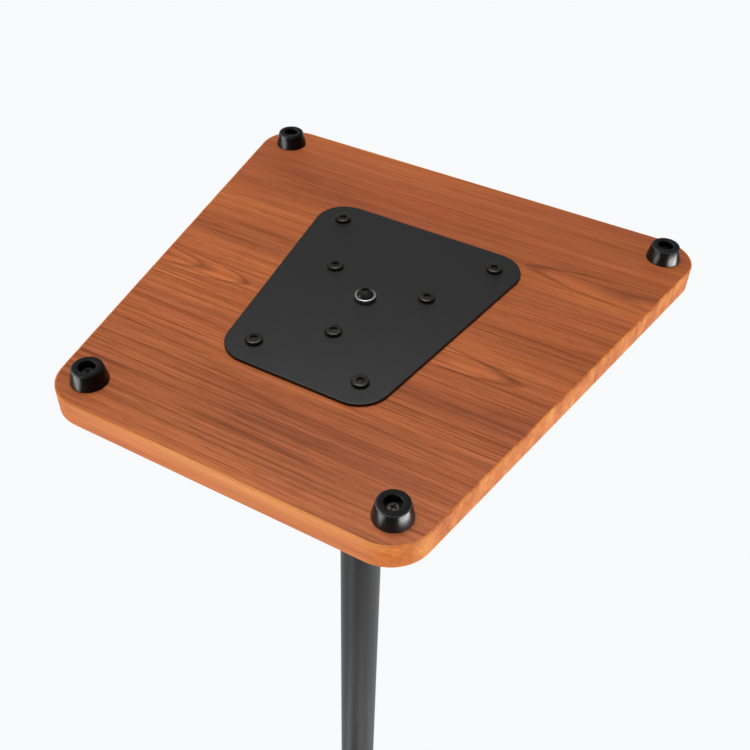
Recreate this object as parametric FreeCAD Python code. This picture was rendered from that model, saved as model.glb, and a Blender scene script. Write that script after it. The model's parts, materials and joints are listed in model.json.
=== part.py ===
import FreeCAD, Part
import math
import os

# Floor stand for one bookshelf loudspeaker: a trapezoid base board on rubber feet, a steel
# stiffener plate under it, one round steel column and a smaller trapezoid top board.
# Millimetres. +Z is up and z = 0 is the floor. The narrow edge of both boards is the front, at -Y.

# Base board
base_back_width = 337.0
base_front_width = 225.0
base_depth = 320.0
base_thickness = 16.0
base_corner_radius = 25.0

# Top board
top_back_width = 230.0
top_front_width = 154.0
top_depth = 218.0
top_thickness = 16.0
top_corner_radius = 20.0

# Edge band, glued around each board
band_thickness = 1.0
band_rounding = 0.6
glue_line = 0.05

# Stiffener plate under the base board
plate_back_width = 153.0
plate_front_width = 101.5
plate_depth = 170.5
plate_thickness = 2.0
plate_corner_radius = 20.0
plate_rounding = 0.5
plate_screw_inset = 17.8

# Column
column_diameter = 32.0
column_wall = 1.5
column_length = 856.0
plug_length = 16.0

# Flange castings at the two ends of the column
flange_diameter = 100.0
flange_thickness = 7.0
flange_rim_rounding = 2.5
hub_diameter = 44.0
hub_height = 12.0
hub_fillet = 7.0
hub_rounding = 1.5
flange_bolt_circle = 75.0
flange_bolt_count = 3
tapped_hole_floor = 1.5

# Machine screws with a hexagon socket, one thread size and head diameter throughout
screw_diameter = 6.0
head_diameter = 10.5
low_head_height = 2.3
low_head_rounding = 0.9
domed_head_height = 3.3
domed_head_top_diameter = 5.9
domed_head_rim = 0.3
socket_across_flats = 4.0
socket_depth = 1.7
screw_tip_chamfer = 0.7
screw_tip_gap = 1.5

# Washers under the heads of the two centre bolts
flat_washer_diameter = 13.2
flat_washer_thickness = 1.2
flat_washer_bevel = 0.35
spring_washer_diameter = 11.8
spring_washer_thickness = 1.6
spring_washer_slit = 1.0
spring_washer_slit_angle = 25.0

# Threaded inserts in the base board
insert_diameter = 9.0
insert_collar_diameter = 11.5
insert_collar_thickness = 1.2
insert_length = 12.0

# Rubber feet
foot_inset = 20.5
foot_base_diameter = 22.0
foot_floor_diameter = 17.5
foot_rim_rounding = 1.1
foot_recess_diameter = 9.8
foot_recess_rounding = 0.4
bolt_floor_clearance = 1.9

# Foot washers and wood screws
foot_washer_thickness = 1.0
foot_washer_hole = 4.6
wood_screw_diameter = 3.8
wood_screw_head_diameter = 7.6
wood_screw_head_height = 2.4
wood_screw_head_rounding = 1.2
wood_screw_bite = 11.0
wood_screw_sink = 3.6
cross_slot_width = 0.9
cross_slot_length = 4.0
cross_slot_depth = 1.2

# Anti-slip pads on the top board
pad_inset = 18.0
pad_diameter = 20.0
pad_thickness = 2.0
pad_rounding = 0.5

# Clearances, all radial
press_clearance = 0.03
thread_clearance = 0.05
socket_clearance = 0.05
hole_clearance = 0.3
washer_clearance = 0.2
counterbore_clearance = 1.2
head_sink = 1.0

# Radii and depths that follow from the sizes above
screw_radius = screw_diameter / 2
head_radius = head_diameter / 2
domed_head_top_radius = domed_head_top_diameter / 2
thread_radius = screw_radius + thread_clearance
clearance_hole_radius = screw_radius + hole_clearance
washer_hole_radius = screw_radius + washer_clearance
column_radius = column_diameter / 2
column_bore_radius = column_radius - column_wall
wood_screw_radius = wood_screw_diameter / 2
foot_recess_radius = foot_recess_diameter / 2
foot_recess_depth = wood_screw_sink + wood_screw_head_height + foot_washer_thickness
core_inset = band_thickness + glue_line
tapped_depth = flange_thickness - tapped_hole_floor
bolt_washers = flat_washer_thickness + spring_washer_thickness
screw_counterbore = head_sink + low_head_height
bolt_counterbore = head_sink + domed_head_height + bolt_washers

# Heights, from the floor up
foot_height = plate_thickness + bolt_washers + domed_head_height + bolt_floor_clearance
base_underside = foot_height
plate_underside = base_underside - plate_thickness
base_top = base_underside + base_thickness
column_bottom = base_top + flange_thickness
column_top = column_bottom + column_length
top_underside = column_top + flange_thickness
top_face = top_underside + top_thickness
base_bolt_seat = plate_underside - bolt_washers
top_screw_seat = top_face - screw_counterbore
top_bolt_seat = top_face - bolt_counterbore + bolt_washers
foot_screw_seat = wood_screw_sink + wood_screw_head_height

# Lengths of the screws under their heads
flange_engagement = tapped_depth - screw_tip_gap
bolt_engagement = plug_length - screw_tip_gap
plate_screw_length = plate_thickness + insert_length - screw_tip_gap
base_screw_length = plate_thickness + base_thickness + flange_engagement
base_bolt_length = column_bottom - base_bolt_seat + bolt_engagement
top_screw_length = top_screw_seat - top_underside + flange_engagement
top_bolt_length = top_bolt_seat - column_top + bolt_engagement
foot_screw_length = base_underside - foot_screw_seat + wood_screw_bite


origin = FreeCAD.Vector(0, 0, 0)
x_axis = FreeCAD.Vector(1, 0, 0)
y_axis = FreeCAD.Vector(0, 1, 0)
z_axis = FreeCAD.Vector(0, 0, 1)
coincident = 1e-6


# Shapes that the pieces share

def flat(x, y):
    """Point of an outline seen from above."""
    return FreeCAD.Vector(x, y, 0)


def upright(radius, z):
    """Point of a profile that is turned about the Z axis."""
    return FreeCAD.Vector(radius, 0, z)


def lifted(shape, z):
    return shape.translated(z_axis * z)


def turned_over(shape, z):
    """The shape turned upside down about the Y axis, with its z = 0 plane moved to z."""
    return lifted(shape.rotated(origin, y_axis, 180), z)


def copies(shape, places, z):
    return Part.makeCompound([shape.translated(FreeCAD.Vector(x, y, z)) for x, y in places])


def bored(solid, holes):
    for hole in holes:
        solid = solid.cut(hole)
    return solid


def rounded_face(corners, plane):
    """Face bounded by straight runs and tangent arcs. A corner is (first, second, rounding)."""
    starts = []
    ends = []
    arcs = []
    for i, (a, b, rounding) in enumerate(corners):
        corner = plane(a, b)
        before = plane(*corners[i - 1][:2]) - corner
        after = plane(*corners[(i + 1) % len(corners)][:2]) - corner
        half_angle = before.getAngle(after) / 2
        before.normalize()
        after.normalize()
        run = rounding / math.tan(half_angle)
        starts.append(corner + before * run)
        ends.append(corner + after * run)
        if rounding:
            bisector = before + after
            bisector.normalize()
            middle = corner + bisector * (rounding / math.sin(half_angle) - rounding)
            arcs.append(Part.Arc(starts[-1], middle, ends[-1]).toShape())
        else:
            arcs.append(None)
    edges = []
    for i, arc in enumerate(arcs):
        if arc:
            edges.append(arc)
        following = starts[(i + 1) % len(starts)]
        if ends[i].distanceToPoint(following) > coincident:
            edges.append(Part.makeLine(ends[i], following))
    return Part.Face(Part.Wire(edges))


def turned(corners):
    """Solid of revolution about the Z axis from corners given as (radius, z, rounding)."""
    return rounded_face(corners, upright).revolve(origin, z_axis, 360)


def rod(radius, length, place=(0, 0), z=0.0):
    return Part.makeCylinder(radius, length, FreeCAD.Vector(place[0], place[1], z))


def ring(outer_radius, inner_radius, thickness, z=0.0):
    return rod(outer_radius, thickness, z=z).cut(rod(inner_radius, thickness, z=z))


def trapezoid_corners(back_width, front_width, depth, inset):
    """Corners of the symmetric trapezoid, each edge moved inwards by the inset."""
    slope = (back_width - front_width) / 2 / depth
    side_shift = inset * math.hypot(1, slope)
    corners = []
    for side, end in ((-1, -1), (1, -1), (1, 1), (-1, 1)):
        y = end * (depth / 2 - inset)
        half_width = front_width / 2 + slope * (y + depth / 2) - side_shift
        corners.append((side * half_width, y))
    return corners


def slab(back_width, front_width, depth, radius, inset, thickness, z):
    """Upright slab with a rounded trapezoid outline."""
    outline = []
    for x, y in trapezoid_corners(back_width, front_width, depth, inset):
        outline.append((x, y, radius - inset))
    return lifted(rounded_face(outline, flat).extrude(z_axis * thickness), z)


def rim_edges(solid, z):
    """Edges that lie flat at height z."""
    rims = []
    for edge in solid.Edges:
        if abs(edge.BoundBox.ZMin - z) + abs(edge.BoundBox.ZMax - z) < coincident:
            rims.append(edge)
    return rims


def bolt_circle(count, diameter):
    """Places on a circle about the column's axis, the first towards the front."""
    places = []
    for i in range(count):
        angle = math.radians(i * 360 / count - 90)
        places.append((diameter / 2 * math.cos(angle), diameter / 2 * math.sin(angle)))
    return places


plate_screw_places = trapezoid_corners(
    plate_back_width, plate_front_width, plate_depth, plate_screw_inset)
foot_places = trapezoid_corners(base_back_width, base_front_width, base_depth, foot_inset)
pad_places = trapezoid_corners(top_back_width, top_front_width, top_depth, pad_inset)
flange_screw_places = bolt_circle(flange_bolt_count, flange_bolt_circle)


# Fasteners. The seat of each head is at z = 0, the head hangs below it and the shank rises.

def low_head():
    """Flat head with a rounded edge, of the screws that hold the plate and the flanges."""
    return turned([
        (0, -low_head_height, 0),
        (head_radius, -low_head_height, low_head_rounding),
        (head_radius, 0, 0),
        (0, 0, 0),
    ])


def domed_head():
    """Head of the centre bolts, a sphere through the rim and the edge of the flat top."""
    rise = head_radius ** 2 - domed_head_top_radius ** 2
    rise += domed_head_rim ** 2 - domed_head_height ** 2
    centre = rise / 2 / (domed_head_rim - domed_head_height)
    dome_radius = math.hypot(head_radius, domed_head_rim - centre)
    middle = (head_radius + domed_head_top_radius) / 2
    middle_height = centre + math.sqrt(dome_radius ** 2 - middle ** 2)
    rim = upright(head_radius, -domed_head_rim)
    crown = upright(domed_head_top_radius, -domed_head_height)
    edges = [
        Part.makeLine(origin, upright(head_radius, 0)),
        Part.makeLine(upright(head_radius, 0), rim),
        Part.Arc(rim, upright(middle, -middle_height), crown).toShape(),
        Part.makeLine(crown, upright(0, -domed_head_height)),
        Part.makeLine(upright(0, -domed_head_height), origin),
    ]
    return Part.Face(Part.Wire(edges)).revolve(origin, z_axis, 360)


def hex_socket(head_height):
    corner_radius = socket_across_flats / math.sqrt(3)
    corners = []
    for i in range(7):
        angle = math.radians(60 * i)
        corners.append(flat(corner_radius * math.cos(angle), corner_radius * math.sin(angle)))
    socket = Part.Face(Part.makePolygon(corners)).extrude(z_axis * socket_depth)
    return lifted(socket, -head_height)


def machine_screw(head, head_height, length):
    shank = turned([
        (0, 0, 0),
        (screw_radius, 0, 0),
        (screw_radius, length - screw_tip_chamfer, 0),
        (screw_radius - screw_tip_chamfer, length, 0),
        (0, length, 0),
    ])
    return head.fuse(shank).removeSplitter().cut(hex_socket(head_height))


def low_screw(length):
    return machine_screw(low_head(), low_head_height, length)


def centre_bolt(length):
    return machine_screw(domed_head(), domed_head_height, length)


def wood_screw(length):
    """Pan-head screw with a cross recess and a point as long as the shank is thick."""
    screw = turned([
        (0, -wood_screw_head_height, 0),
        (wood_screw_head_diameter / 2, -wood_screw_head_height, wood_screw_head_rounding),
        (wood_screw_head_diameter / 2, 0, 0),
        (wood_screw_radius, 0, 0),
        (wood_screw_radius, length - wood_screw_diameter, 0),
        (0, length, 0),
    ])
    slot = Part.makeBox(cross_slot_length, cross_slot_width, cross_slot_depth)
    slot.translate(FreeCAD.Vector(-cross_slot_length / 2, -cross_slot_width / 2,
                                  -wood_screw_head_height))
    return bored(screw, [slot, slot.rotated(origin, z_axis, 90)])


def flat_washer():
    return turned([
        (washer_hole_radius, 0, 0),
        (flat_washer_diameter / 2, 0, flat_washer_bevel),
        (flat_washer_diameter / 2, flat_washer_thickness, 0),
        (washer_hole_radius, flat_washer_thickness, 0),
    ])


def spring_washer():
    """Split ring, with a slanted slit towards +X."""
    radius = spring_washer_diameter / 2
    coil = ring(radius, washer_hole_radius, spring_washer_thickness)
    slit_height = spring_washer_diameter
    slit = Part.makeBox(radius, spring_washer_slit, slit_height)
    slit.translate(FreeCAD.Vector(0, -spring_washer_slit / 2, -slit_height / 2))
    slit.rotate(origin, x_axis, spring_washer_slit_angle)
    slit.translate(FreeCAD.Vector(washer_hole_radius / 2, 0, spring_washer_thickness / 2))
    return coil.cut(slit)


def threaded_insert():
    """Insert with its collar's open face at z = 0 and its body rising into the board."""
    return turned([
        (thread_radius, 0, 0),
        (insert_collar_diameter / 2, 0, 0),
        (insert_collar_diameter / 2, insert_collar_thickness, 0),
        (insert_diameter / 2, insert_collar_thickness, 0),
        (insert_diameter / 2, insert_length, 0),
        (thread_radius, insert_length, 0),
    ])


# Boards, bands and plate

def insert_pocket():
    collar = rod(insert_collar_diameter / 2 + press_clearance, insert_collar_thickness)
    return collar.fuse(rod(insert_diameter / 2 + press_clearance, insert_length))


def base_board():
    board = slab(base_back_width, base_front_width, base_depth, base_corner_radius,
                 core_inset, base_thickness, base_underside)
    holes = []
    for place in [(0, 0)] + flange_screw_places:
        holes.append(rod(clearance_hole_radius, base_thickness, place, base_underside))
    holes.append(copies(insert_pocket(), plate_screw_places, base_underside))
    pilot = rod(wood_screw_radius + thread_clearance, wood_screw_bite)
    holes.append(copies(pilot, foot_places, base_underside))
    return bored(board, holes)


def edge_band(back_width, front_width, depth, radius, thickness, z):
    outside = slab(back_width, front_width, depth, radius, 0, thickness, z)
    rims = rim_edges(outside, z) + rim_edges(outside, z + thickness)
    inside = slab(back_width, front_width, depth, radius, band_thickness, thickness, z)
    return outside.makeFillet(band_rounding, rims).cut(inside)


def base_edge_band():
    return edge_band(base_back_width, base_front_width, base_depth, base_corner_radius,
                     base_thickness, base_underside)


def base_plate():
    plate = slab(plate_back_width, plate_front_width, plate_depth, plate_corner_radius,
                 0, plate_thickness, plate_underside)
    plate = plate.makeFillet(plate_rounding, rim_edges(plate, plate_underside))
    holes = []
    for place in [(0, 0)] + flange_screw_places + plate_screw_places:
        holes.append(rod(clearance_hole_radius, plate_thickness, place, plate_underside))
    return bored(plate, holes)


def top_board():
    board = slab(top_back_width, top_front_width, top_depth, top_corner_radius,
                 core_inset, top_thickness, top_underside)
    holes = []
    for place in [(0, 0)] + flange_screw_places:
        holes.append(rod(clearance_hole_radius, top_thickness, place, top_underside))
    head_pocket = rod(head_radius + counterbore_clearance, screw_counterbore)
    holes.append(copies(head_pocket, flange_screw_places, top_screw_seat))
    washer_pocket = rod(flat_washer_diameter / 2 + counterbore_clearance, bolt_counterbore)
    holes.append(lifted(washer_pocket, top_face - bolt_counterbore))
    return bored(board, holes)


def top_edge_band():
    return edge_band(top_back_width, top_front_width, top_depth, top_corner_radius,
                     top_thickness, top_underside)


# Feet and pads

def rubber_foot():
    """Moulded foot standing on z = 0, with a recess for its washer and screw head."""
    screw_hole_radius = wood_screw_radius + washer_clearance
    return turned([
        (foot_recess_radius, 0, foot_recess_rounding),
        (foot_floor_diameter / 2, 0, foot_rim_rounding),
        (foot_base_diameter / 2, foot_height, 0),
        (screw_hole_radius, foot_height, 0),
        (screw_hole_radius, foot_recess_depth, 0),
        (foot_recess_radius, foot_recess_depth, 0),
    ])


def foot_washer():
    radius = foot_recess_radius - socket_clearance
    return ring(radius, foot_washer_hole / 2, foot_washer_thickness)


def top_pad():
    return turned([
        (0, 0, 0),
        (pad_diameter / 2, 0, 0),
        (pad_diameter / 2, pad_thickness, pad_rounding),
        (0, pad_thickness, 0),
    ])


# Column and its two ends

def column_tube():
    return ring(column_radius, column_bore_radius, column_length, column_bottom)


def column_plug():
    """Threaded plug pressed into the tube, flush with the tube's end at z = 0."""
    return ring(column_bore_radius - press_clearance, thread_radius, plug_length)


def flange():
    """Flange casting on z = 0: a disc with tapped holes, and a hub with the tube's socket."""
    hub_top = flange_thickness + hub_height
    casting = turned([
        (clearance_hole_radius, 0, 0),
        (flange_diameter / 2, 0, 0),
        (flange_diameter / 2, flange_thickness, flange_rim_rounding),
        (hub_diameter / 2, flange_thickness, hub_fillet),
        (hub_diameter / 2, hub_top, hub_rounding),
        (column_radius + socket_clearance, hub_top, 0),
        (column_radius + socket_clearance, flange_thickness, 0),
        (clearance_hole_radius, flange_thickness, 0),
    ])
    return bored(casting, [copies(rod(thread_radius, tapped_depth), flange_screw_places, 0)])


stand = {
    "base_board": base_board(),
    "base_edge_band": base_edge_band(),
    "base_plate": base_plate(),
    "plate_inserts": copies(threaded_insert(), plate_screw_places, base_underside),
    "plate_screws": copies(low_screw(plate_screw_length), plate_screw_places, plate_underside),
    "base_flange_screws": copies(
        low_screw(base_screw_length), flange_screw_places, plate_underside),
    "base_centre_bolt": lifted(centre_bolt(base_bolt_length), base_bolt_seat),
    "base_flat_washer": lifted(flat_washer(), base_bolt_seat),
    "base_spring_washer": lifted(spring_washer(), base_bolt_seat + flat_washer_thickness),
    "foot_washers": copies(foot_washer(), foot_places, foot_screw_seat),
    "foot_screws": copies(wood_screw(foot_screw_length), foot_places, foot_screw_seat),
    "base_flange": lifted(flange(), base_top),
    "base_column_plug": lifted(column_plug(), column_bottom),
    "column_tube": column_tube(),
    "top_column_plug": turned_over(column_plug(), column_top),
    "top_flange": turned_over(flange(), top_underside),
    "top_board": top_board(),
    "top_edge_band": top_edge_band(),
    "top_flange_screws": copies(
        turned_over(low_screw(top_screw_length), top_screw_seat), flange_screw_places, 0),
    "top_centre_bolt": turned_over(centre_bolt(top_bolt_length), top_bolt_seat),
    "top_spring_washer": turned_over(spring_washer(), top_bolt_seat),
    "top_flat_washer": turned_over(flat_washer(), top_bolt_seat - spring_washer_thickness),
}

corner_names = ("front_left", "front_right", "back_right", "back_left")
for name, foot_place, pad_place in zip(corner_names, foot_places, pad_places):
    stand["foot_" + name] = copies(rubber_foot(), [foot_place], 0)
    stand["top_pad_" + name] = copies(top_pad(), [pad_place], top_face)

os.makedirs("parts", exist_ok=True)
for node, shape in stand.items():
    shape.exportStep(f"parts/{node}.step")
print("nodes", len(stand), "height", round(top_face + pad_thickness, 2))
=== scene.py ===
import json
import math

import bmesh
import bpy
from mathutils import Matrix, Vector


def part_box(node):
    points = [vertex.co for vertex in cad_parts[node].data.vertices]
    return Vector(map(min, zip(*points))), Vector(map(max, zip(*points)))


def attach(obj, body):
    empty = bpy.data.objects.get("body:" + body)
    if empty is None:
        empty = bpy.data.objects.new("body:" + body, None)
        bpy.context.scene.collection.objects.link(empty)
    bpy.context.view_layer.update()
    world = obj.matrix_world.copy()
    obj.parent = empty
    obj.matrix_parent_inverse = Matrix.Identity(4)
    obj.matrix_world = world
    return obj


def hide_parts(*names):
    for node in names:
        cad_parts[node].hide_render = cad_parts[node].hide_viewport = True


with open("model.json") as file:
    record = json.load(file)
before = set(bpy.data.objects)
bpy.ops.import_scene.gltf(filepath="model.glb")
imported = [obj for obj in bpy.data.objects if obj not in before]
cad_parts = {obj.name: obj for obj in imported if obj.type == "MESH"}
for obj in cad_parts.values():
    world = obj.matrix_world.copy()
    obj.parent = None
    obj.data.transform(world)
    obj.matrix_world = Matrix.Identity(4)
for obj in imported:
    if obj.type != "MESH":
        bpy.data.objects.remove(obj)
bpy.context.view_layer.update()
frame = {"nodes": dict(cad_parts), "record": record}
nodes = frame["nodes"]
scene = bpy.context.scene
print("frame loaded:", len(nodes), "nodes")

# the camera looks up at the underside of the base, with the stand's foot end uppermost
cameraSetup = {
    "place": (-0.22879, -0.40980, -0.35467),
    "right": (-0.87144, 0.49009, -0.02046),
    "up": (0.34263, 0.57834, -0.74038),
    "lens": 46.51,
}


def makeCamera():
    data = bpy.data.cameras.new("photoCamera")
    data.lens = cameraSetup["lens"]
    data.sensor_width = 36
    data.clip_start = 0.01
    right = Vector(cameraSetup["right"]).normalized()
    back = right.cross(Vector(cameraSetup["up"])).normalized()
    up = back.cross(right)
    turn = Matrix((right, up, back)).transposed().to_4x4()
    camera = bpy.data.objects.new("photoCamera", data)
    camera.matrix_world = Matrix.Translation(cameraSetup["place"]) @ turn
    scene.collection.objects.link(camera)
    scene.camera = camera
    return right, up, back


cameraRight, cameraUp, cameraBack = makeCamera()
print("camera ready")


# short ways to wire up a material
def addNode(tree, kind, settings=None, **inputs):
    node = tree.nodes.new("ShaderNode" + kind)
    for key, value in (settings or {}).items():
        setattr(node, key, value)
    for key, value in inputs.items():
        node.inputs[key.replace("_", " ")].default_value = value
    return node


def newMaterial(name, roughness, specular, metallic=0.0):
    material = bpy.data.materials.new(name)
    material.use_nodes = True
    tree = material.node_tree
    shader = tree.nodes["Principled BSDF"]
    shader.inputs["Roughness"].default_value = roughness
    shader.inputs["Specular IOR Level"].default_value = specular
    shader.inputs["Metallic"].default_value = metallic
    return material, tree, shader


def objectCoords(tree, scale=(1, 1, 1), location=(0, 0, 0), rotation=(0, 0, 0)):
    coords = addNode(tree, "TexCoord")
    mapping = addNode(tree, "Mapping", Scale=scale, Location=location, Rotation=rotation)
    tree.links.new(coords.outputs["Object"], mapping.inputs["Vector"])
    return mapping.outputs["Vector"]


def splitCoords(tree):
    split = addNode(tree, "SeparateXYZ")
    tree.links.new(objectCoords(tree), split.inputs[0])
    return split.outputs["X"], split.outputs["Y"], split.outputs["Z"]


def noise(tree, vector, scale, detail, roughness):
    node = addNode(tree, "TexNoise", Scale=scale, Detail=detail, Roughness=roughness)
    tree.links.new(vector, node.inputs["Vector"])
    return node.outputs["Fac"]


def mottling(tree, scale, detail=3.0, roughness=0.6):
    # noise that is as fine in every direction
    return noise(tree, objectCoords(tree), scale, detail, roughness)


def grain(tree, fineness, shift, detail, roughness, lean=(0, 0, 0)):
    # noise that is coarse along the grain and fine across it
    return noise(tree, objectCoords(tree, fineness, shift, lean), 1.0, detail, roughness)


def setOrLink(tree, socket, value):
    if isinstance(value, bpy.types.NodeSocket):
        tree.links.new(value, socket)
    else:
        socket.default_value = value


def ramp(tree, value, stops):
    node = addNode(tree, "ValToRGB")
    elements = node.color_ramp.elements
    while len(elements) < len(stops):
        elements.new(0.5)
    for element, (position, colour) in zip(elements, stops):
        element.position = position
        element.color = (*colour, 1)
    tree.links.new(value, node.inputs["Fac"])
    return node.outputs["Color"]


def mixColour(tree, factor, first, second, blend="MIX"):
    node = addNode(tree, "Mix", {"data_type": "RGBA", "blend_type": blend})
    setOrLink(tree, node.inputs["Factor"], factor)
    setOrLink(tree, node.inputs[6], first)
    setOrLink(tree, node.inputs[7], second)
    return node.outputs[2]


def maths(tree, operation, first, second=0.0, clamp=False):
    node = addNode(tree, "Math", {"operation": operation, "use_clamp": clamp})
    setOrLink(tree, node.inputs[0], first)
    setOrLink(tree, node.inputs[1], second)
    return node.outputs["Value"]


def fading(tree, distance, start, loss):
    # from start down to nothing, by loss for each unit of distance
    return maths(tree, "SUBTRACT", start, maths(tree, "MULTIPLY", distance, loss), clamp=True)


def addBump(tree, shader, height, strength, distance):
    node = addNode(tree, "Bump", Strength=strength, Distance=distance)
    tree.links.new(height, node.inputs["Height"])
    tree.links.new(node.outputs["Normal"], shader.inputs["Normal"])


def grey(level):
    return (level, level, level)


def greyStops(levels):
    return [(place, grey(level)) for place, level in levels]


def srgb(red, green, blue):
    levels = []
    for level in (red, green, blue):
        share = level / 255
        levels.append(share / 12.92 if share < 0.04045 else ((share + 0.055) / 1.055) ** 2.4)
    return tuple(levels)


# walnut-coloured laminate on both faces of a fibreboard core
laminate = {
    "light": srgb(186, 103, 54),
    "middle": srgb(163, 85, 48),
    "smoke": srgb(113, 58, 38),
    "roughness": 0.42,
    "specular": 0.18,
    # a grain is its fineness along, across and through the board, its shift, detail and roughness
    "toneGrain": ((2.6, 24, 1), (5.3, 0.9, 0), 3.0, 0.55),
    "smokeGrain": ((3.4, 40, 1), (1.3, 7.9, 0), 4.0, 0.55),
    "smokeLevels": ((0.44, 0), (0.74, 0.52)),
    # an arch: where its tip is, which way it opens, its spread and its ring spacing
    "arches": (
        ((0.075, -0.020), 1, 0.0022, 0.034),
        ((-0.110, -0.020), 1, 0.0020, 0.060),
        ((-0.062, 0.088), -1, 0.0024, 0.062),
    ),
    "ringLevels": ((0.0, 0.80), (0.14, 0.66), (0.32, 1.16), (0.70, 1.12), (1.0, 0.80)),
    "archStart": 400.0,         # an arch sets in over 2.5 mm
    "archSides": (1.25, 3125),  # and fades with the square of the way from its middle line
    "archEnd": (1.3, 8.0),      # and with the way from its tip
    # how the arches stray along and across the board: a grain and how far
    "strays": (
        (((9, 40, 1), (2.1, 0.4, 0), 2.0, 0.55), 0.010),
        (((14, 50, 1), (0.3, 1.7, 0), 2.0, 0.55), 0.0045),
    ),
    # fine streaks: a grain and its levels
    "streaks": (
        (((4.5, 150, 1), (0.4, 3.3, 0), 3.0, 0.6), ((0.34, 0.85), (0.50, 1.0), (0.66, 1.09))),
        (((6, 700, 1), (3.7, 5.2, 0), 2.0, 0.6), ((0.36, 1.05), (0.56, 1.0), (0.70, 0.70))),
        (((60, 1300, 1), (0.1, 0.6, 0), 3.0, 0.6), ((0.34, 1.10), (0.56, 1.0), (0.70, 0.66))),
        (((9, 480, 1), (0.7, 0.2, 0), 4.0, 0.6), ((0.34, 0.64), (0.50, 1.0), (0.68, 1.20))),
    ),
    "streakFade": (0.87, 2.4),  # the streaks are weaker towards the back
    "skin": 0.0005,
    "coreLight": srgb(196, 166, 120),
    "coreDark": srgb(132, 98, 62),
    "coreGrain": 520,
}


def archShade(tree, x, y, arch):
    # nested arches open out from a tip, where the cut runs along the rings of the trunk
    (tipX, tipY), opens, spread, spacing = arch
    along = maths(tree, "MULTIPLY", maths(tree, "SUBTRACT", x, tipX), opens)
    aside = maths(tree, "SUBTRACT", y, tipY)
    square = maths(tree, "MULTIPLY", aside, aside)
    depth = maths(tree, "SUBTRACT", along, maths(tree, "DIVIDE", square, spread))
    ring = maths(tree, "FRACT", maths(tree, "DIVIDE", depth, spacing))
    line = ramp(tree, ring, greyStops(laminate["ringLevels"]))
    inside = maths(tree, "MULTIPLY", depth, laminate["archStart"], clamp=True)
    near = fading(tree, square, *laminate["archSides"])
    out = fading(tree, along, *laminate["archEnd"])
    share = maths(tree, "MULTIPLY", maths(tree, "MULTIPLY", near, inside), out)
    return mixColour(tree, share, (1, 1, 1, 1), line)


def insideBoards(tree, z):
    # 1 where the height is under the skin of either board
    found = []
    for board in ("base_board", "top_board"):
        low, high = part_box(board)
        above = maths(tree, "GREATER_THAN", z, low[2] + laminate["skin"])
        below = maths(tree, "LESS_THAN", z, high[2] - laminate["skin"])
        found.append(maths(tree, "MULTIPLY", above, below))
    return maths(tree, "ADD", *found)


def streakTone(level):
    # dark grain turns redder, because it takes more of the green and blue
    return (level, level ** 1.18, level ** 1.6)


def woodLaminate():
    material, tree, shader = newMaterial("woodLaminate", laminate["roughness"],
                                         laminate["specular"])
    x, y, z = splitCoords(tree)
    tone = grain(tree, *laminate["toneGrain"])
    colour = ramp(tree, tone, [(0.36, laminate["middle"]), (0.66, laminate["light"])])
    smoky = grain(tree, *laminate["smokeGrain"])
    smoke = ramp(tree, smoky, greyStops(laminate["smokeLevels"]))
    colour = mixColour(tree, smoke, colour, (*laminate["smoke"], 1))
    strayed = []
    for place, (pattern, reach) in zip((x, y), laminate["strays"]):
        stray = maths(tree, "MULTIPLY", grain(tree, *pattern), reach)
        strayed.append(maths(tree, "ADD", place, stray))
    for arch in laminate["arches"]:
        shade = archShade(tree, *strayed, arch)
        colour = mixColour(tree, 1.0, colour, shade, "MULTIPLY")
    strength = fading(tree, y, *laminate["streakFade"])
    for pattern, levels in laminate["streaks"]:
        streak = grain(tree, *pattern)
        shade = ramp(tree, streak, [(place, streakTone(level)) for place, level in levels])
        colour = mixColour(tree, strength, colour, shade, "MULTIPLY")
    fibres = mottling(tree, laminate["coreGrain"], 4.0, 0.7)
    core = ramp(tree, fibres, [(0.36, laminate["coreDark"]), (0.62, laminate["coreLight"])])
    colour = mixColour(tree, insideBoards(tree, z), colour, core)
    tree.links.new(colour, shader.inputs["Base Color"])
    addBump(tree, shader, streak, 0.10, 0.0003)
    return material


# the band is cut from the same log: its grain runs on from the faces and leans a little. Its
# colours are lighter than the faces': partly painted light on the edges, partly its own more
# orange tone
bandWoodWithPaintedLight = {
    # lighter than the laminate on the faces: painted light on the edges, over the band's own more
    # orange tone
    "light": srgb(234, 148, 70),
    "middle": srgb(220, 124, 48),
    "dark": srgb(194, 98, 32),
    "roughness": 0.5,
    "specular": 0.3,
    "lean": (0.55, 0, 0),
    "toneGrain": ((4, 90, 60), (0.2, 3.1, 0), 3.0, 0.55),
    "streaks": (
        (((6, 260, 170), (0.7, 0.2, 0), 3.0, 0.6), ((0.34, 0.86), (0.50, 1.0), (0.68, 1.10))),
        (((16, 900, 620), (0.7, 0.2, 0), 3.0, 0.6), ((0.34, 0.86), (0.50, 1.0), (0.68, 1.08))),
    ),
}


def edgeBandWood():
    material, tree, shader = newMaterial("edgeBandWood", bandWoodWithPaintedLight["roughness"],
                                         bandWoodWithPaintedLight["specular"])
    tone = grain(tree, *bandWoodWithPaintedLight["toneGrain"], bandWoodWithPaintedLight["lean"])
    colour = ramp(tree, tone, [(0.32, bandWoodWithPaintedLight["dark"]), (0.50, bandWoodWithPaintedLight["middle"]),
                               (0.68, bandWoodWithPaintedLight["light"])])
    for pattern, levels in bandWoodWithPaintedLight["streaks"]:
        streak = grain(tree, *pattern, bandWoodWithPaintedLight["lean"])
        shade = ramp(tree, streak, greyStops(levels))
        colour = mixColour(tree, 1.0, colour, shade, "MULTIPLY")
    tree.links.new(colour, shader.inputs["Base Color"])
    addBump(tree, shader, streak, 0.06, 0.0002)
    return material


# baked coats on the steel, named as their materials are
coats = {
    "blackPowderCoat": {"dark": srgb(4, 4, 5), "light": srgb(11, 11, 12),
                        "roughness": 0.40, "specular": 0.50, "grain": 2200},
    "columnPaint": {"dark": srgb(8, 8, 9), "light": srgb(16, 16, 17),
                    "roughness": 0.40, "specular": 0.50, "grain": 1500},
}


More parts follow.
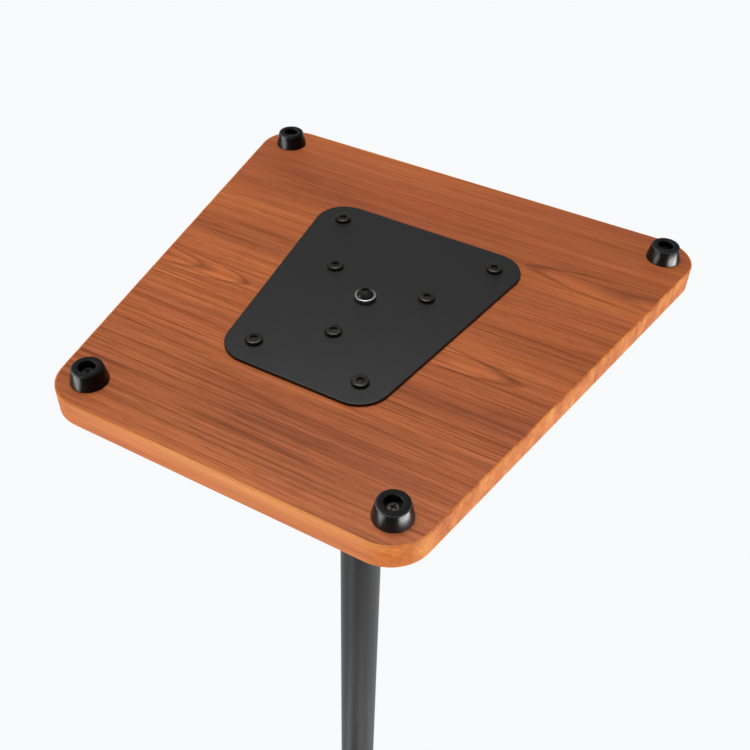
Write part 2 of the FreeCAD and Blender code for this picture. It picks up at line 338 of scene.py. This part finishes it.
def powderCoat(name):
    coat = coats[name]
    material, tree, shader = newMaterial(name, coat["roughness"], coat["specular"])
    fine = mottling(tree, coat["grain"], 2.0)
    colour = ramp(tree, fine, [(0.35, coat["dark"]), (0.70, coat["light"])])
    tree.links.new(colour, shader.inputs["Base Color"])
    addBump(tree, shader, fine, 0.25, 0.00025)
    return material


# blackened and plated metal: blotches in its colour, fine wear in its gloss
metals = {
    "blackScrew": {"metallic": 0.8, "dark": srgb(50, 50, 49), "light": srgb(74, 72, 64),
                   "gloss": ((0.3, 0.24), (0.7, 0.34)), "blotches": 260, "wear": 1800},
    "zincPlate": {"metallic": 1.0, "dark": srgb(168, 170, 172), "light": srgb(206, 208, 210),
                  "gloss": ((0.3, 0.24), (0.7, 0.38)), "blotches": 900, "wear": 2400},
}


def metalFinish(name):
    metal = metals[name]
    material, tree, shader = newMaterial(name, 0.24, 0.5, metal["metallic"])
    stain = mottling(tree, metal["blotches"])
    colour = ramp(tree, stain, [(0.35, metal["dark"]), (0.65, metal["light"])])
    tree.links.new(colour, shader.inputs["Base Color"])
    wear = mottling(tree, metal["wear"])
    gloss = ramp(tree, wear, greyStops(metal["gloss"]))
    tree.links.new(gloss, shader.inputs["Roughness"])
    addBump(tree, shader, wear, 0.04, 0.0001)
    return material


rubber = {
    "dark": srgb(6, 6, 7),
    "light": srgb(13, 13, 14),
    "scuffed": srgb(58, 58, 58),
    "scuffHeight": 0.0011,  # the ring that stands on the floor is scuffed up to here
    "gloss": ((0.0, 0.27), (1.0, 0.55)),
    "specular": 0.15,
    "mottle": 700,
}


def footRubber():
    material, tree, shader = newMaterial("footRubber", 0.27, rubber["specular"])
    mottle = mottling(tree, rubber["mottle"])
    colour = ramp(tree, mottle, [(0.35, rubber["dark"]), (0.65, rubber["light"])])
    height = splitCoords(tree)[2]
    clean = maths(tree, "DIVIDE", height, rubber["scuffHeight"], clamp=True)
    scuff = maths(tree, "SUBTRACT", 1.0, maths(tree, "POWER", clean, 2.0))
    patchy = maths(tree, "MULTIPLY", scuff, maths(tree, "ADD", mottle, 0.4), clamp=True)
    colour = mixColour(tree, patchy, colour, (*rubber["scuffed"], 1))
    tree.links.new(colour, shader.inputs["Base Color"])
    gloss = ramp(tree, patchy, greyStops(rubber["gloss"]))
    tree.links.new(gloss, shader.inputs["Roughness"])
    addBump(tree, shader, mottle, 0.04, 0.0001)
    return material


foam = {
    # the dark level sits in the pits of the cells: painted shade in the pores
    "dark": srgb(22, 22, 23),
    "light": srgb(44, 44, 46),
    "roughness": 0.9,
    "specular": 0.2,
    "cells": 1400.0,
}


def padFoam():
    material, tree, shader = newMaterial("padFoam", foam["roughness"], foam["specular"])
    cells = addNode(tree, "TexVoronoi", Scale=foam["cells"])
    tree.links.new(objectCoords(tree), cells.inputs["Vector"])
    # painted shade: darker towards the middle of each cell, where the bump sinks into a pit
    colour = ramp(tree, cells.outputs["Distance"], [(0.1, foam["dark"]), (0.6, foam["light"])])
    tree.links.new(colour, shader.inputs["Base Color"])
    addBump(tree, shader, cells.outputs["Distance"], 0.5, 0.0004)
    return material


finishes = {
    "wood_laminate": woodLaminate(),
    "edge_band": edgeBandWood(),
    "black_powder_coat": powderCoat("blackPowderCoat"),
    "column_paint": powderCoat("columnPaint"),
    "black_screw": metalFinish("blackScrew"),
    "zinc": metalFinish("zincPlate"),
    "foot_rubber": footRubber(),
    "pad_foam": padFoam(),
}
slotOf = {part["node"]: part["material_slot"] for part in frame["record"]["subparts"]}
for nodeName, slotName in slotOf.items():
    slots = nodes[nodeName].data.materials
    slots.clear()
    slots.append(finishes[slotName])
print("finishes ready:", len(finishes))

turnSteps = 72                  # flats round every turned piece
sharpAngle = math.radians(35)   # edges sharper than this can be rounded
creaseAngle = math.radians(32)  # and those sharper than this are shaded as edges
corners = (("front", "left"), ("front", "right"), ("back", "right"), ("back", "left"))


# modelling steps that the pieces share
def turnedOutline(outline, closed=True):
    # the outline is (radius, height) pairs, turned about the Z axis
    mesh = bmesh.new()
    points = [mesh.verts.new((radius, 0, height)) for radius, height in outline]
    following = points[1:] + points[:1] if closed else points[1:]
    edges = [mesh.edges.new(pair) for pair in zip(points, following)]
    bmesh.ops.spin(mesh, geom=points + edges, cent=(0, 0, 0), axis=(0, 0, 1),
                   angle=2 * math.pi, steps=turnSteps, use_merge=True)
    bmesh.ops.remove_doubles(mesh, verts=mesh.verts, dist=1e-6)
    bmesh.ops.recalc_face_normals(mesh, faces=mesh.faces)
    return mesh


def roundRim(mesh, width, segments, radius, height):
    # rounds the sharp edge that runs round the axis at this radius and height
    slack = 0.0001
    rim = []
    for edge in mesh.edges:
        if len(edge.link_faces) == 2 and edge.calc_face_angle() > sharpAngle:
            middle = (edge.verts[0].co + edge.verts[1].co) / 2
            off = abs(math.hypot(middle.x, middle.y) - radius)
            if off < slack and abs(middle.z - height) < slack:
                rim.append(edge)
    bmesh.ops.bevel(mesh, geom=rim, offset=width, offset_type="OFFSET", segments=segments,
                    profile=0.5, affect="EDGES", material=-1, clamp_overlap=True)


def looseEdges(mesh):
    return [edge for edge in mesh.edges if edge.is_wire]


def sink(mesh, edges, drop, shrink=1.0):
    # extrudes a loop of edges, moves it down and draws it in
    out = bmesh.ops.extrude_edge_only(mesh, edges=edges)["geom"]
    verts = [item for item in out if isinstance(item, bmesh.types.BMVert)]
    bmesh.ops.translate(mesh, verts=verts, vec=(0, 0, -drop))
    bmesh.ops.scale(mesh, verts=verts, vec=(shrink, shrink, 1))
    return [item for item in out if isinstance(item, bmesh.types.BMEdge)]


def addRecess(mesh, steps):
    # joins the loose outline on a head to its open rim and sinks it by (drop, shrink) steps
    rim = [edge for edge in mesh.edges if edge.is_boundary]
    loop = looseEdges(mesh)
    bmesh.ops.bridge_loops(mesh, edges=rim + loop)
    for drop, shrink in steps:
        loop = sink(mesh, loop, drop, shrink)
    bmesh.ops.edgeloop_fill(mesh, edges=loop)
    bmesh.ops.remove_doubles(mesh, verts=mesh.verts, dist=1e-7)


threadShape = {
    "ridge": 0.42,   # half the foot of the ridge, in pitches
    "sunk": 0.0001,  # the ridge starts this far inside the shank
    "collar": 0.7,   # share of the plain stretch that is as thick as the thread
    "stepsPerTurn": 20,
}


def addThread(mesh, thread, bottom):
    # a V-shaped ridge wound round the shank
    start = bottom + thread["tip"] + thread["pitch"] / 2
    rise = -thread["plain"] - thread["pitch"] / 2 - start
    turns = rise / thread["pitch"]
    steps = round(turns * threadShape["stepsPerTurn"])
    half = thread["pitch"] * threadShape["ridge"]
    inner = thread["root"] - threadShape["sunk"]
    outline = ((inner, start - half), (thread["crest"], start), (inner, start + half))
    ridge = mesh.faces.new([mesh.verts.new((radius, 0, z)) for radius, z in outline])
    bmesh.ops.spin(mesh, geom=[ridge], cent=(0, 0, 0), axis=(0, 0, 1),
                   dvec=(0, 0, rise / steps), angle=2 * math.pi * turns, steps=steps)
    bmesh.ops.recalc_face_normals(mesh, faces=mesh.faces)


def shankOutline(thread, bottom):
    # from the point up to the underside of the head
    root, crest, plain = thread["root"], thread["crest"], thread["plain"]
    return [(0, bottom), (thread["point"], bottom), (root, bottom + thread["tip"]),
            (root, -plain), (crest, -plain * threadShape["collar"]), (crest, 0)]


def loosePlaces(node):
    # the middle of each separate solid of a node, seen from above
    mesh = bmesh.new()
    mesh.from_mesh(nodes[node].data)
    bmesh.ops.remove_doubles(mesh, verts=mesh.verts, dist=1e-6)
    places = []
    waiting = set(mesh.verts)
    while waiting:
        group = [waiting.pop()]
        for vert in group:
            for edge in vert.link_edges:
                other = edge.other_vert(vert)
                if other in waiting:
                    waiting.remove(other)
                    group.append(other)
        xs = [vert.co.x for vert in group]
        ys = [vert.co.y for vert in group]
        places.append(((min(xs) + max(xs)) / 2, (min(ys) + max(ys)) / 2))
    mesh.free()
    return sorted(places)


def finishPiece(name, mesh, height, nodeName, turnedOver=False):
    # sets a copy where each solid of the node is, and lets the piece stand for the node
    if turnedOver:
        bmesh.ops.rotate(mesh, verts=mesh.verts, cent=(0, 0, 0),
                         matrix=Matrix.Rotation(math.pi, 3, "Y"))
    single = bpy.data.meshes.new(name + "Single")
    mesh.to_mesh(single)
    mesh.free()
    whole = bmesh.new()
    for x, y in loosePlaces(nodeName):
        known = len(whole.verts)
        whole.from_mesh(single)
        whole.verts.ensure_lookup_table()
        bmesh.ops.translate(whole, verts=whole.verts[known:], vec=(x, y, height))
    for face in whole.faces:
        face.smooth = True
    data = bpy.data.meshes.new(name)
    whole.to_mesh(data)
    whole.free()
    bpy.data.meshes.remove(single)
    data.set_sharp_from_angle(angle=creaseAngle)
    slotName = slotOf[nodeName]
    data.materials.append(finishes[slotName])
    piece = bpy.data.objects.new(name, data)
    scene.collection.objects.link(piece)
    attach(piece, "root")
    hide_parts(nodeName)
    return piece


def span(node):
    low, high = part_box(node)
    return low[2], high[2]


# rubber feet: moulded cones with a recess for the screw
foot = {
    "baseRadius": 0.0110,
    "floorRadius": 0.00875,
    "recessRadius": 0.0049,
    "recessDepth": 0.0070,
    "holeRadius": 0.0021,
    "rimRound": 0.0011,
    "lipRound": 0.0004,
    "baseRound": 0.0005,
}


def makeFoot(name, nodeName):
    low, high = span(nodeName)
    height = high - low
    mesh = turnedOutline([
        (foot["recessRadius"], 0), (foot["floorRadius"], 0), (foot["baseRadius"], height),
        (foot["holeRadius"], height), (foot["holeRadius"], foot["recessDepth"]),
        (foot["recessRadius"], foot["recessDepth"])])
    roundRim(mesh, foot["rimRound"], 5, foot["floorRadius"], 0)
    roundRim(mesh, foot["lipRound"], 3, foot["recessRadius"], 0)
    roundRim(mesh, foot["baseRound"], 2, foot["baseRadius"], height)
    return finishPiece(name, mesh, low, nodeName)


feet = []
for end, side in corners:
    feet.append(makeFoot("rubberFoot" + end.title() + side.title(), f"foot_{end}_{side}"))
print("feet ready")

# machine screws: low flat heads on the plate and flanges, domed heads on the centre bolts
screwHead = {
    "radius": 0.00525,
    "lowHeight": 0.0023,
    "lowRound": 0.0009,
    "domedHeight": 0.0033,
    "domedTop": 0.00295,
    "domedRim": 0.0003,
    "domeSteps": 8,
    "socketAcross": 0.0040,
    "socketChamfer": 0.00025,
    "socketDepth": 0.0013,
}
machineThread = {
    "crest": 0.0030,
    "root": 0.0026,
    "pitch": 0.0010,
    "plain": 0.0010,
    "tip": 0.0007,
    "point": 0.0022,
}


def domeOutline():
    # from the rim up to the flat top, along a sphere through both
    radius, rim = screwHead["radius"], screwHead["domedRim"]
    top, height = screwHead["domedTop"], screwHead["domedHeight"]
    centre = (radius ** 2 - top ** 2 + rim ** 2 - height ** 2) / 2 / (rim - height)
    ball = math.hypot(radius, rim - centre)
    first = math.asin(radius / ball)
    last = math.asin(top / ball)
    outline = []
    for step in range(screwHead["domeSteps"] + 1):
        angle = first + (last - first) * step / screwHead["domeSteps"]
        outline.append((ball * math.sin(angle), centre + ball * math.cos(angle)))
    return outline


def makeSocketScrew(length, domed):
    # the seat of the head is at z = 0, the head stands up and the shank hangs down
    radius = screwHead["radius"]
    top = screwHead["domedHeight"] if domed else screwHead["lowHeight"]
    head = domeOutline() if domed else [(radius, top)]
    shank = shankOutline(machineThread, -length)
    mesh = turnedOutline(shank + [(radius, 0)] + head, closed=False)
    chamfer = screwHead["socketChamfer"]
    corner = screwHead["socketAcross"] / math.sqrt(3)
    bmesh.ops.create_circle(mesh, segments=6, radius=corner + chamfer,
                            matrix=Matrix.Translation((0, 0, top)))
    bmesh.ops.subdivide_edges(mesh, edges=looseEdges(mesh), cuts=turnSteps // 6 - 1)
    addRecess(mesh, ((chamfer, corner / (corner + chamfer)),
                     (screwHead["socketDepth"] - chamfer, 1)))
    bmesh.ops.recalc_face_normals(mesh, faces=mesh.faces)
    if not domed:
        roundRim(mesh, screwHead["lowRound"], 6, radius, top)
    addThread(mesh, machineThread, -length)
    return mesh


def makeScrews(name, nodeName, headDown, domed):
    low, high = span(nodeName)
    height = screwHead["domedHeight"] if domed else screwHead["lowHeight"]
    seat = low + height if headDown else high - height
    mesh = makeSocketScrew(high - low - height, domed)
    finishPiece(name, mesh, seat, nodeName, turnedOver=headDown)


makeScrews("plateScrews", "plate_screws", True, False)
makeScrews("baseFlangeScrews", "base_flange_screws", True, False)
makeScrews("baseCentreBolt", "base_centre_bolt", True, True)
makeScrews("topFlangeScrews", "top_flange_screws", False, False)
makeScrews("topCentreBolt", "top_centre_bolt", False, True)
print("machine screws ready")

# wood screws in the feet: pan heads with a cross recess
woodScrew = {
    "headRadius": 0.0038,
    "headHeight": 0.0024,
    "headRound": 0.0012,
    "crossReach": 0.0020,
    "crossHalfWidth": 0.00045,
    "crossSteps": ((0.0003, 0.97), (0.0009, 0.80)),
}
woodThread = {
    "crest": 0.0019,
    "root": 0.00135,
    "pitch": 0.0015,
    "plain": 0.0020,
    "tip": 0.0038,
    "point": 0.00005,
}


def addCross(mesh, top):
    # the outline of a plus sign, from a grid of nine that loses its corners
    reach, half = woodScrew["crossReach"], woodScrew["crossHalfWidth"]
    grid = bmesh.ops.create_grid(mesh, x_segments=3, y_segments=3, size=reach,
                                 matrix=Matrix.Translation((0, 0, top)))["verts"]
    for vert in grid:
        if abs(vert.co.x) < reach * 0.9:
            vert.co.x = math.copysign(half, vert.co.x)
        if abs(vert.co.y) < reach * 0.9:
            vert.co.y = math.copysign(half, vert.co.y)
    faces = {face for vert in grid for face in vert.link_faces}
    outer = []
    for face in faces:
        middle = face.calc_center_median()
        if abs(middle.x) > half and abs(middle.y) > half:
            outer.append(face)
    bmesh.ops.delete(mesh, geom=outer, context="FACES")
    plus = [face for face in faces if face.is_valid]
    inner = {edge for face in plus for edge in face.edges if len(edge.link_faces) == 2}
    bmesh.ops.delete(mesh, geom=list(inner), context="EDGES")
    bmesh.ops.subdivide_edges(mesh, edges=looseEdges(mesh), cuts=turnSteps // 12 - 1)


def makeWoodScrews(name, nodeName):
    low, high = span(nodeName)
    radius, top = woodScrew["headRadius"], woodScrew["headHeight"]
    bottom = top - (high - low)
    outline = shankOutline(woodThread, bottom) + [(radius, 0), (radius, top)]
    mesh = turnedOutline(outline, closed=False)
    addCross(mesh, top)
    addRecess(mesh, woodScrew["crossSteps"])
    bmesh.ops.recalc_face_normals(mesh, faces=mesh.faces)
    roundRim(mesh, woodScrew["headRound"], 6, radius, top)
    addThread(mesh, woodThread, bottom)
    finishPiece(name, mesh, low + top, nodeName, turnedOver=True)


makeWoodScrews("footScrews", "foot_screws")

# flat washers under the centre bolts and in the feet: stamped, with one rounded side
flatWasher = {"radius": 0.0066, "hole": 0.0032, "round": 0.00035, "burr": 0.00012}
footWasher = {"radius": 0.00485, "hole": 0.0023, "round": 0.00020, "burr": 0.00010}


def makeWashers(name, nodeName, washer, turnedOver):
    low, high = span(nodeName)
    thick = high - low
    mesh = turnedOutline([(washer["hole"], 0), (washer["radius"], 0),
                          (washer["radius"], thick), (washer["hole"], thick)])
    roundRim(mesh, washer["round"], 4, washer["radius"], 0)
    roundRim(mesh, washer["burr"], 2, washer["hole"], 0)
    finishPiece(name, mesh, high if turnedOver else low, nodeName, turnedOver)


makeWashers("baseFlatWasher", "base_flat_washer", flatWasher, False)
makeWashers("topFlatWasher", "top_flat_washer", flatWasher, True)
makeWashers("footWashers", "foot_washers", footWasher, False)
print("wood screws and washers ready")

# anti-slip pads on the top board: die-cut foam discs with pressed edges
topPad = {"radius": 0.0100, "edgeRound": 0.0005}


def makePad(name, nodeName):
    low, high = span(nodeName)
    thick = high - low
    radius = topPad["radius"]
    mesh = turnedOutline([(0, 0), (radius, 0), (radius, thick), (0, thick)], closed=False)
    roundRim(mesh, topPad["edgeRound"], 4, radius, thick)
    finishPiece(name, mesh, low, nodeName)


for end, side in corners:
    makePad(f"topPad_{end}_{side}", f"top_pad_{end}_{side}")
print("pads ready")

# a pale studio: soft boxes round the base, a wide ceiling light over the standing stand
studio = {
    "background": srgb(248, 250, 252),
    "ambientFront": 0.18,          # the dark room behind the camera
    "ambientBack": 0.85,           # the white backdrop behind the stand
    "backdropEdge": (0.35, 1.8),   # where the backdrop starts, and how fast it brightens
    "floorColour": srgb(236, 237, 238),
    "floorReach": 4,
    "floorFade": (0.7, 2.4),
    "aim": (0, 0, 0.02),
    # a lamp's place and long side, seen from the camera as (right, up, back), its size and power
    "lamps": {
        "keyBox": ((-0.10, 1.38, 0.86), (1, 0, 0), (1.0, 1.0), 23.5),
        "leftBox": ((-1.58, -0.95, 0.22), (0, 1, 0), (2.1, 0.75), 34),
        "rightBox": ((1.84, -1.51, 0.30), (0.44, 0.46, -0.62), (2.5, 0.80), 58),
        # these reach only the rubber feet, through the base, or only the column
        "leftShine": ((-1.64, -0.40, 0.30), (0, 1, 0), (2.1, 1.10), 82),
        "rightShine": ((1.88, -1.51, 0.20), (0.44, 0.46, -0.62), (2.5, 0.80), 190),
        "columnShine": ((1.66, -0.60, 0.30), (0, 1, 0), (1.6, 1.0), 70),
    },
    "ceilingPlace": (0.0, 0.0, 3.6),
    "ceilingSize": (2.0, 2.0),
    "ceilingPower": 50,
}


def makeWorld():
    world = bpy.data.worlds.new("studioWorld")
    scene.world = world
    world.use_nodes = True
    tree = world.node_tree
    tree.nodes.clear()
    seen = addNode(tree, "Background", Color=(*studio["background"], 1), Strength=1.0)
    # brighter towards the backdrop than towards the camera's side of the room
    coords = addNode(tree, "TexCoord")
    facing = addNode(tree, "VectorMath", {"operation": "DOT_PRODUCT"})
    facing.inputs[1].default_value = -cameraBack
    tree.links.new(coords.outputs["Generated"], facing.inputs[0])
    edge, rise = studio["backdropEdge"]
    beyond = maths(tree, "SUBTRACT", facing.outputs["Value"], edge)
    share = maths(tree, "MULTIPLY", beyond, rise, clamp=True)
    front, back = studio["ambientFront"], studio["ambientBack"]
    level = maths(tree, "ADD", maths(tree, "MULTIPLY", share, back - front), front)
    lit = addNode(tree, "Background", Color=(1, 1, 1, 1))
    tree.links.new(level, lit.inputs["Strength"])
    ray = addNode(tree, "LightPath")
    mix = addNode(tree, "MixShader")
    out = addNode(tree, "OutputWorld")
    tree.links.new(ray.outputs["Is Camera Ray"], mix.inputs[0])
    tree.links.new(lit.outputs[0], mix.inputs[1])
    tree.links.new(seen.outputs[0], mix.inputs[2])
    tree.links.new(mix.outputs[0], out.inputs["Surface"])


def makeFloor():
    # seen from above only, because the photograph looks up through it, and it fades far out
    mesh = bmesh.new()
    bmesh.ops.create_grid(mesh, x_segments=1, y_segments=1, size=studio["floorReach"])
    data = bpy.data.meshes.new("floor")
    mesh.to_mesh(data)
    mesh.free()
    floor = bpy.data.objects.new("floor", data)
    scene.collection.objects.link(floor)
    material, tree, shader = newMaterial("paleFloor", 0.8, 0.2)
    shader.inputs["Base Color"].default_value = (*studio["floorColour"], 1)
    clear = addNode(tree, "BsdfTransparent")
    side = addNode(tree, "NewGeometry")
    far = addNode(tree, "VectorMath", {"operation": "LENGTH"})
    tree.links.new(objectCoords(tree), far.inputs[0])
    near, end = studio["floorFade"]
    beyond = maths(tree, "SUBTRACT", far.outputs["Value"], near)
    fade = maths(tree, "DIVIDE", beyond, end - near, clamp=True)
    mix = addNode(tree, "MixShader")
    tree.links.new(maths(tree, "MAXIMUM", side.outputs["Backfacing"], fade), mix.inputs[0])
    tree.links.new(shader.outputs[0], mix.inputs[1])
    tree.links.new(clear.outputs[0], mix.inputs[2])
    tree.links.new(mix.outputs[0], tree.nodes["Material Output"].inputs["Surface"])
    data.materials.append(material)
    floor.visible_shadow = False
    floor.visible_diffuse = False
    floor.visible_glossy = False
    return floor


def seenFrom(right, up, back):
    return cameraRight * right + cameraUp * up + cameraBack * back


def addSoftbox(name, place, along, size, power):
    data = bpy.data.lights.new(name, "AREA")
    data.shape = "RECTANGLE"
    data.size, data.size_y = size
    data.energy = power
    lamp = bpy.data.objects.new(name, data)
    scene.collection.objects.link(lamp)
    away = (place - Vector(studio["aim"])).normalized()
    side = along - away * along.dot(away)
    side.normalize()
    turn = Matrix((side, away.cross(side), away)).transposed().to_4x4()
    lamp.matrix_world = Matrix.Translation(place) @ turn
    return lamp


def lampGroup(name, members, state):
    group = bpy.data.collections.new(name)
    for member in members:
        group.objects.link(member)
    for entry in group.collection_objects:
        entry.light_linking.link_state = state
    return group


makeWorld()
floor = makeFloor()
shineOn = {
    "leftShine": feet,
    "rightShine": [piece for piece in feet if piece.data.vertices[0].co.x < 0],
    "columnShine": [nodes["column_tube"]],
}
woodOfBase = [nodes["base_board"], nodes["base_edge_band"]]
for name, (place, along, size, power) in studio["lamps"].items():
    place = Vector(studio["aim"]) + seenFrom(*place)
    linking = addSoftbox(name, place, seenFrom(*along), size, power).light_linking
    if name in shineOn:
        linking.receiver_collection = lampGroup(name + "Takes", shineOn[name], "INCLUDE")
        linking.blocker_collection = lampGroup(name + "Passes", woodOfBase, "EXCLUDE")
    else:
        # the boxes hang just over the floor, where they would draw bright patches
        linking.receiver_collection = lampGroup(name + "Leaves", [floor] + feet, "EXCLUDE")
addSoftbox("ceilingBox", Vector(studio["ceilingPlace"]), Vector((1, 0, 0)),
           studio["ceilingSize"], studio["ceilingPower"])
scene.view_settings.view_transform = "Standard"
print("studio ready")
